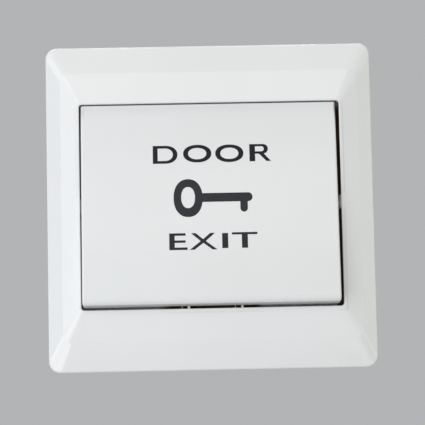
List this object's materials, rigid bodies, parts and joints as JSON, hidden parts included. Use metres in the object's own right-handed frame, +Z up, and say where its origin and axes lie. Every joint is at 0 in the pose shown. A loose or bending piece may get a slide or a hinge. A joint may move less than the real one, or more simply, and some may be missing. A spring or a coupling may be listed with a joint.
{
  "type": "door exit button",
  "caption": "Square white wall plate with one large tilting button that springs back, and a small contact switch with screw terminals behind it.",
  "frame": {"origin": "centre of the plate on the wall plane", "axes": "+Z up the wall, +X to the right for a person facing it, +Y into the wall"},
  "size_m": [0.086, 0.0328, 0.086],
  "materials": {
    "white_plastic": "polished white ABS",
    "plate_plastic": "moulded white ABS",
    "switch_plastic": "moulded ivory nylon",
    "plunger_plastic": "natural acetal",
    "zinc_steel": "zinc plated",
    "brass_strip": "rolled",
    "bronze_strip": "sprung phosphor bronze",
    "silver": "silver alloy",
    "spring_steel": "drawn wire"
  },
  "bodies": {
    "wall_plate": {"face_frame": "white_plastic", "mounting_plate": "plate_plastic", "contact_housing": "switch_plastic", "housing_cover": "switch_plastic", "housing_screws": "zinc_steel", "cover_screws": "zinc_steel", "common_terminal": "brass_strip", "open_terminal": "brass_strip", "common_contact": "silver", "open_contact": "silver", "common_clamp_plate": "zinc_steel", "open_clamp_plate": "zinc_steel", "terminal_screws": "zinc_steel", "plunger_spring": "spring_steel", "left_return_spring": "spring_steel", "right_return_spring": "spring_steel"},
    "push_button": {"button": "white_plastic"},
    "switch_carriage": {"plunger": "plunger_plastic", "contact_bridge": "bronze_strip", "bridge_contacts": "silver", "bridge_clip": "spring_steel", "contact_spring": "spring_steel"}
  },
  "joints": [
    {"name": "button_press", "type": "hinge", "parent": "wall_plate", "child": "push_button", "pos_m": [0, -0.00365, 0], "axis": [1, 0, 0], "range_deg": [0, 5.4], "stiffness_Nm_per_rad": 0.286, "springref_deg": -7.33, "deforming": ["left_return_spring", "right_return_spring"]},
    {"name": "plunger_slide", "type": "slide", "parent": "wall_plate", "child": "switch_carriage", "axis": [0, 1, 0], "range_m": [0, 0.00104], "deforming": ["plunger_spring"]}
  ],
  "couplings": [
    {"joint": "plunger_slide", "follows": "button_press", "m_per_rad": 0.011}
  ]
}
